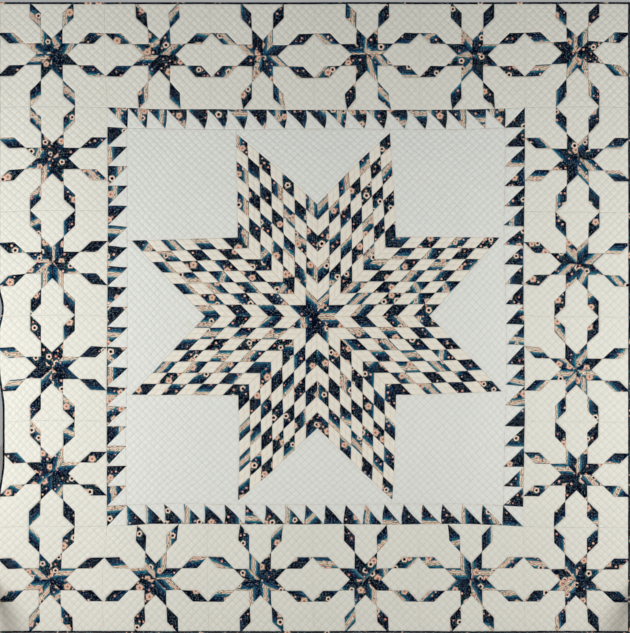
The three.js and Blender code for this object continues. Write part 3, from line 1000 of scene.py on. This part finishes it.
def make_star_points():
    small = diamond(STAR_PATCH, STAR_CELLS)
    scissors = Scissors(202)
    for k in range(8):
        dark, white = Cloth(), Cloth()
        angle = k * EIGHTH
        along, up = polar(STAR_PATCH, angle), polar(STAR_PATCH, angle + EIGHTH)
        for i in range(DIAMONDS_ACROSS):
            for j in range(DIAMONDS_ACROSS):
                cloth = white if (i + j) % 2 else dark
                grain = scissors.cut(angle, angle + EIGHTH)
                cloth.add(small, angle, i * along + j * up, grain)
        node = f"star_point_{k + 1}"
        sew(dark, node + "_dark", node, PRINT)
        sew(white, node + "_white", node, STAR_WHITE)


def make_field():
    """The white corner squares and side triangles round the central star."""
    corner = polygon(
        [(NOTCH, NOTCH), (FIELD_HALF, NOTCH), (FIELD_HALF, FIELD_HALF), (NOTCH, FIELD_HALF)]
    )
    side = polygon(
        [
            (0, POINT_SIDE), (NOTCH, POINT_SIDE + NOTCH), (NOTCH, FIELD_HALF),
            (-NOTCH, FIELD_HALF), (-NOTCH, POINT_SIDE + NOTCH),
        ]
    )
    corners = ("upper_right", "upper_left", "lower_left", "lower_right")
    sides = ("top", "left", "bottom", "right")
    square = FIELD_HALF - NOTCH
    for k in range(4):
        for shape, node, flat, whole in (
            (corner, "corner_square_" + corners[k], (square, square), True),
            (side, "side_triangle_" + sides[k], (2 * NOTCH, FIELD_HALF - POINT_SIDE), False),
        ):
            cloth = Cloth()
            cloth.add(shape, k * QUARTER, grain=(k * QUARTER, (0.3 * k, 0.1)))
            sew(cloth, node + "_cloth", node, FIELD_WHITE)


def make_sawtooth():
    """Half-square units, each dark towards the corner where the strip ends."""
    half = half_square(TOOTH, TOOTH_CELLS)
    scissors = Scissors(303)
    units = TEETH_ACROSS - 1
    for k, side in enumerate(("top", "right", "bottom", "left")):
        turn = -k * QUARTER
        dark, white = Cloth(), Cloth()
        for i in range(units):
            corner = np.array([-FRAME_HALF + i * TOOTH, FIELD_HALF])
            upper_right = turned(corner + TOOTH, turn)
            grain = scissors.cut(turn, turn + QUARTER, turn + QUARTER)
            dark.add(half, turn + HALF_TURN, upper_right, grain)
            white.add(half, turn, turned(corner, turn), scissors.cut(turn, turn + QUARTER))
        node = "sawtooth_border_" + side
        sew(dark, node + "_dark", node, PRINT)
        sew(white, node + "_white", node, FIELD_WHITE)


make_star_blocks()
make_star_points()
make_field()
make_sawtooth()


# ---- Binding, batting, backing, sleeve and hand stitches ----


def distance_along(points):
    """How far along a line of points each of them lies."""
    return np.concatenate([[0], np.cumsum(np.linalg.norm(np.diff(points, axis=0), axis=1))])


def tube_faces(around, along):
    """Quads of a closed tube whose points are numbered ring by ring."""
    ring = (np.arange(along - 1) * around)[:, None] + np.arange(around)
    ahead = np.roll(ring, -1, axis=1)
    return columns(ring, ahead, ahead + around, ring + around).reshape(-1, 4)


def binding_profile():
    """The folded binding's section as (in from the edge, depth): out along the face, back
    round the edge, and the same again inside, 0.7 mm smaller."""
    front, back = SEAM_DEPTH + 0.9 * MM, BACKING_BACK - 0.1 * MM
    middle, half = (front + back) / 2, (front - back) / 2
    outer, inner = [], []
    for k in range(9):
        angle = QUARTER - k * HALF_TURN / 8
        bulge = np.array([1.9 * MM * (1 - math.cos(angle)), half * math.sin(angle)])
        outer.append((bulge[0], middle + bulge[1] * 1.18))
        inner.append((bulge[0] * 0.6 + 0.75 * MM, middle + bulge[1] * 0.94))
    lap = [BINDING_LAP, 7.4 * MM, 4.8 * MM]
    face = [(t, front + rise * MM) for t, rise in zip(lap, (-0.35, 0.35, 0.6))]
    rear = [(t, back - rise * MM) for t, rise in zip(lap[::-1], (0.6, 0.35, -0.35))]
    outside = face + outer + rear
    shrink = 0.55 * MM
    within = [(t, d + shrink) for t, d in rear[::-1]] + inner[::-1]
    within += [(t, d - shrink) for t, d in face[::-1]]
    return np.array(outside), np.array(within)


def make_binding():
    """Four mitred strips of the printed cloth, folded over the edges."""
    outside, within = binding_profile()
    section = np.vstack([outside, within])
    girth = distance_along(section)
    steps = 420
    around = len(section)
    half = around // 2
    q = np.linspace(-1, 1, steps + 1)
    for k, side in enumerate(("top", "left", "bottom", "right")):
        gathers = ripple(q * QUILT_HALF, 0 * q, 0.05, 40 + k)
        pucker = ripple(q * QUILT_HALF, 0 * q, 0.02, 50 + k)
        inset = section[None, :, 0] + 0.5 * MM * gathers[:, None] * (section[:, 0] > 4 * MM)
        along = q[:, None] * (QUILT_HALF - inset)
        flat = columns(along, QUILT_HALF - inset).reshape(-1, 2)
        u, v = turned(flat, k * QUARTER).T
        free = 0.5 + 0.5 * np.cos(np.linspace(0, TURN, len(section)))[None, :]
        depth = section[None, :, 1] + 0.18 * MM * pucker[:, None] * free
        points = hang(u, v, depth.ravel())
        quads = tube_faces(around, steps + 1)
        caps = []
        for ring, turn in ((0, 1), (steps * around, -1)):
            for j in range(half - 1):
                quad = np.array([j, around - 1 - j, around - 2 - j, j + 1]) + ring
                caps.append(quad[::turn])
        thing = new_mesh(f"binding_{side}", points, quads, [], caps)
        span = columns(along, np.broadcast_to(girth, along.shape)).reshape(-1, 2)
        add_map(thing, "Grain", span + (0.37 * k, -BINDING_LAP / 2))
        add_map(thing, "Stitch", np.full((len(points), 2), 0.5))
        add_value(thing, "Seam", np.full(len(points), 1.0))
        dress(thing, PRINT, "printed_cotton", "binding")


def slab(name, us, vs, near, far_depth, far_spacing):
    """A closed slab with a fine grid on one side. near gives that side's depth at (u, v)."""
    grid = columns(*np.meshgrid(us, vs, indexing="ij")).reshape(-1, 2)
    quads, ring = grid_faces(len(us), len(vs))
    corners = [(us[0], vs[0]), (us[-1], vs[0]), (us[-1], vs[-1]), (us[0], vs[-1])]
    extra = even_grid(corners, far_spacing, 0, far_spacing * 0.35)
    back = np.vstack([grid[ring], extra])
    back_tris = triangulated(back, len(ring))
    u, v = grid.T
    points = np.vstack([hang(u, v, near(u, v)), hang(*back.T, np.full(len(back), far_depth))])
    first = len(grid)
    back_ring = first + np.arange(len(ring))
    skirt = columns(ring, np.roll(ring, -1), np.roll(back_ring, -1), back_ring)
    # The fine side looks backwards, so its faces turn the other way from a face patch's.
    thing = new_mesh(name, points, quads[:, ::-1], [], skirt, back_tris + first)
    places = np.vstack([grid, back])
    add_map(thing, "Grain", places)
    add_map(thing, "Stitch", columns(*hatch_place(*places.T)))
    seam = np.minimum(abs(u - us[0]), abs(us[-1] - u))
    add_value(thing, "Seam", np.concatenate([seam, np.ones(len(back))]))
    return thing


def make_backing():
    """Three widths of muslin, quilted through, with two seams."""
    fine = ROOT2 * HATCH / 4
    width = 2 * round(BLOCK / fine)  # mesh cells across one of the three widths
    lines = (np.arange(3 * width + 1) - 1.5 * width) * fine
    lines = np.clip(lines, -CLOTH_HALF, CLOTH_HALF)

    def rear(u, v):
        near_seam = np.abs(np.abs(u) - BLOCK)
        level = smooth(near_seam, 0, 8 * MM) * 0.8 + 0.2
        under_sleeve = 1 - 0.8 * smooth(v, SLEEVE_FOOT - 12 * MM, SLEEVE_FOOT)
        lifted = BACK_PUFF * pillow(*hatch_place(u, v)) * level * under_sleeve
        return BACKING_BACK + 0.4 * MM - lifted

    for k, name in enumerate(("left", "middle", "right")):
        us = lines[k * width : (k + 1) * width + 1]
        thing = slab(f"backing_{name}_width", us, lines, rear, BACKING_FRONT, COARSE)
        dress(thing, MUSLIN, "muslin", "backing")


def make_batting():
    edge = CLOTH_HALF - 2 * MM
    steps = np.linspace(-edge, edge, 121)

    def rear(u, v):
        return BATTING_BACK + 0.25 * MM * (1 + ripple(u, v, 0.05, 61))

    thing = slab("batting_sheet", steps, steps, rear, BATTING_FRONT, 44 * MM)
    dress(thing, wadding(), "wadding", "batting")


def points_between(start, end, steps):
    """Evenly spaced points from start to end, both among them."""
    t = np.linspace(0, 1, steps + 1)[:, None]
    return np.asarray(start) * (1 - t) + np.asarray(end) * t


def sleeve_loop(size, high, low):
    """Over the pole, down and up the backing again, as (y, z) about the pole's axis."""
    start = math.atan2(high, -size) - math.acos(size / math.hypot(size, high))
    end = math.atan2(-low, -size) + math.acos(size / math.hypot(size, low))
    angles = np.linspace(start, end, 25)
    arc = size * columns(np.cos(angles), np.sin(angles))
    upper, lower = (-size, high), (-size, -low)
    over = points_between(upper, arc[0], 7)
    down = points_between(arc[-1], lower, 13)
    up = points_between(lower, upper, 23)
    return np.vstack([over[1:-1], arc, down[1:], up[1:]])


def make_sleeve():
    """A tube of muslin round the pole, sewn to the backing above and below it."""
    outer = -sleeve_low.y
    rise = sleeve_high.z - POLE_Z
    drop = POLE_Z - sleeve_low.z
    outside = sleeve_loop(outer, rise, drop)
    within = sleeve_loop(outer - 0.8 * MM, rise - 2 * MM, drop - 4 * MM)
    steps = 260
    xs = np.linspace(sleeve_low.x, sleeve_high.x, steps + 1)
    around = len(outside)
    girth = distance_along(outside)
    # Loose only behind and below the pole, where nothing stretches it.
    behind = smooth(outside[:, 0], -0.6 * (outer - MM), 0.4 * (outer - MM))
    loose = behind * smooth(-outside[:, 1], -4 * MM, 12 * MM)
    direction = outside / np.linalg.norm(outside, axis=1)[:, None]
    sag = 1.6 * MM * (1 + ripple(xs[:, None], girth[None, :] * 1.5, 0.09, 71)) * loose
    shells = []
    for section in (outside, within):
        y = section[None, :, 0] + sag * direction[None, :, 0]
        z = section[None, :, 1] + sag * direction[None, :, 1] + POLE_Z
        x = np.broadcast_to(xs[:, None], y.shape)
        shells.append(columns(x, y, z).reshape(-1, 3))
    outward = tube_faces(around, steps + 1)
    count = len(shells[0])
    quads = np.vstack([outward, outward[:, ::-1] + count])
    ring = np.arange(around)
    ahead = np.roll(ring, -1)
    mouths = []
    for start, turn in ((0, 1), (steps * around, -1)):
        lip = columns(ring, count + ring, count + ahead, ahead) + start
        mouths.append(lip[:, ::turn])
    thing = new_mesh("hanging_sleeve_tube", np.vstack(shells), quads, [], np.vstack(mouths))
    span = columns(*np.broadcast_arrays(xs[:, None], girth)).reshape(-1, 2)
    hem = np.repeat(np.abs(np.abs(xs) - xs.max() + 12 * MM), around)
    add_map(thing, "Grain", np.vstack([span, span]))
    add_map(thing, "Stitch", np.full((2 * count, 2), 0.5))
    add_value(thing, "Seam", np.concatenate([hem, np.ones(count)]))
    dress(thing, MUSLIN, "muslin", "hanging_sleeve")


def thread_points(starts, ends, thickness):
    """Short rounded threads from starts to ends: the points and the faces of all of them."""
    across = ends - starts
    length = np.linalg.norm(across, axis=1, keepdims=True)
    ahead = across / length
    side = np.cross(ahead, (0.3, 1.0, 0.2))
    side /= np.linalg.norm(side, axis=1, keepdims=True)
    up = np.cross(ahead, side)
    rings = ((0.0, 0.35), (0.12, 0.85), (0.5, 1.0), (0.88, 0.85), (1.0, 0.35))
    around = 6
    points = []
    for share, fatness in rings:
        middle = starts + across * share
        for angle in np.arange(around) * TURN / around:
            spoke = side * math.cos(angle) + up * math.sin(angle)
            points.append(middle + spoke * fatness * thickness / 2)
    points = np.stack(points, axis=1)
    per_thread = points.shape[1]
    quads = tube_faces(around, len(rings))
    first_cap = np.arange(around)[::-1]
    last_cap = per_thread - around + np.arange(around)
    halves = ([0, 1, 2, 3], [0, 3, 4, 5])
    caps = np.array([cap[half] for cap in (first_cap, last_cap) for half in halves])
    every = (np.arange(len(starts)) * per_thread)[:, None, None]
    faces = np.concatenate([quads, caps])[None] + every
    return points.reshape(-1, 3), faces.reshape(-1, 4)


FELL_SPACING = 8 * MM
SLEEVE_SPACING = 11 * MM
SEWING_THREAD = 0.8 * MM  # doubled and waxed


def make_hand_stitches():
    """The stitches that fell the binding's rear edge and hold the sleeve to the backing."""
    reach = QUILT_HALF - 14 * MM
    q = np.arange(-reach, reach, FELL_SPACING)
    edge = np.full(len(q), QUILT_HALF)
    starts, ends = [], []
    for k in range(4):
        low = turned(columns(q, edge - BINDING_LAP - 1.4 * MM), k * QUARTER)
        high = turned(columns(q + 1.2 * MM, edge - BINDING_LAP + 1.6 * MM), k * QUARTER)
        starts.append(hang(*low.T, BACKING_BACK + 0.3 * MM))
        ends.append(hang(*high.T, BACKING_BACK - 0.6 * MM))
    x = np.arange(sleeve_low.x + 8 * MM, sleeve_high.x - 8 * MM, SLEEVE_SPACING)
    back = np.full(len(x), -BACKING_BACK)
    for z, out in ((sleeve_high.z, 2.2 * MM), (sleeve_low.z, -2.2 * MM)):
        starts.append(columns(x, back - 0.1 * MM, 0 * x + z + out))
        ends.append(columns(x + 1.6 * MM, back + 1.1 * MM, 0 * x + z - out))
    points, faces = thread_points(np.vstack(starts), np.vstack(ends), SEWING_THREAD)
    dress(new_mesh("hand_stitches", points, faces, []), THREAD, "white_cotton")


make_binding()
make_backing()
make_batting()
make_sleeve()
make_hand_stitches()


# ---- The rack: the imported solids, with wood, brass and felt ----


def dress_rack():
    oak = (colour(196, 150, 100), colour(140, 94, 54), colour(92, 58, 32), 0.42, 0.12)
    pale = (colour(222, 184, 134), colour(188, 142, 92), colour(140, 98, 60), 0.36, 0.2)
    dark = (colour(104, 66, 42), colour(58, 34, 22), colour(30, 18, 12), 0.34, 0.25)
    woods = {
        f"{name}_{axis}": wood(f"{name}_along_{axis}", axis, *look)
        for name, look in (("oak", oak), ("pale", pale), ("dark", dark))
        for axis in "XYZ"
    }
    looks = {
        "foot": woods["oak_Y"], "glide": felt(), "cheek": woods["oak_Z"],
        "brace": woods["oak_Z"], "wedge": woods["dark_Z"], "bolt": brass(),
        "knob": woods["dark_X"], "mast": woods["oak_Z"], "cradle": woods["dark_Z"],
        "finial": woods["dark_X"], "stretcher": woods["oak_X"], "pole": woods["pale_X"],
    }
    for name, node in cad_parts.items():
        word = name.split("_")[-1]
        if word in looks:
            node.data.materials.clear()
            node.data.materials.append(looks[word])


dress_rack()


# ---- Floor, light and camera ----


def area_light(name, place, width, height, power):
    """A soft light that looks at the quilt's centre."""
    data = bpy.data.lights.new(name, "AREA")
    data.shape = "RECTANGLE"
    data.size, data.size_y = width, height
    data.energy = power
    light = bpy.data.objects.new(name, data)
    light.location = place
    aim = Vector((0, -TOP_FRONT, CENTRE_Z)) - Vector(place)
    light.rotation_euler = aim.to_track_quat("-Z", "Y").to_euler()
    light.visible_camera = False
    bpy.context.scene.collection.objects.link(light)


def make_floor():
    m = Material("Studio_floor", Roughness=0.9)
    place = m.object_place()
    tone = m.mix(m.noise(place, 1.2, 2.0), colour(214, 212, 207), colour(222, 220, 216))
    reach = 14
    corners = [(-reach, -reach, 0), (reach, -reach, 0), (reach, reach, 0), (-reach, reach, 0)]
    floor = new_mesh("studio_floor", corners, [(0, 1, 2, 3)], [])
    floor.data.materials.append(m.finish(Base_Color=tone))


def make_world():
    world = bpy.data.worlds.new("Studio")
    world.use_nodes = True
    backdrop = world.node_tree.nodes["Background"]
    backdrop.inputs["Color"].default_value = colour(232, 233, 235)
    backdrop.inputs["Strength"].default_value = 0.46
    bpy.context.scene.world = world


def make_lights():
    area_light("Left", (-2.6, -1.9, 1.2), 1.1, 0.8, 56)
    area_light("Right", (2.7, -1.9, 1.2), 1.1, 0.8, 46)
    area_light("Behind", (2.5, 4.5, 3.2), 3.0, 3.0, 80)


SENSOR = 36.0  # in the camera's own millimetres
DISTANCE = 9.0  # camera to the quilt's face
SEEN_HEIGHT = 2.630  # of the plane of the quilt's face, over the picture's longer side
ASIDE = 1 * MM  # the camera's place from the quilt's middle
ABOVE = 4.2 * MM


def make_camera():
    data = bpy.data.cameras.new("Camera")
    data.sensor_width = SENSOR
    data.lens = SENSOR * DISTANCE / SEEN_HEIGHT
    data.clip_end = 60
    camera = bpy.data.objects.new("Camera", data)
    camera.location = (ASIDE, -TOP_FRONT - DISTANCE, CENTRE_Z + ABOVE)
    camera.rotation_euler = (QUARTER, 0, 0)
    bpy.context.scene.collection.objects.link(camera)
    bpy.context.scene.camera = camera


make_floor()
make_world()
make_lights()
make_camera()
bpy.context.scene.view_settings.view_transform = "Standard"
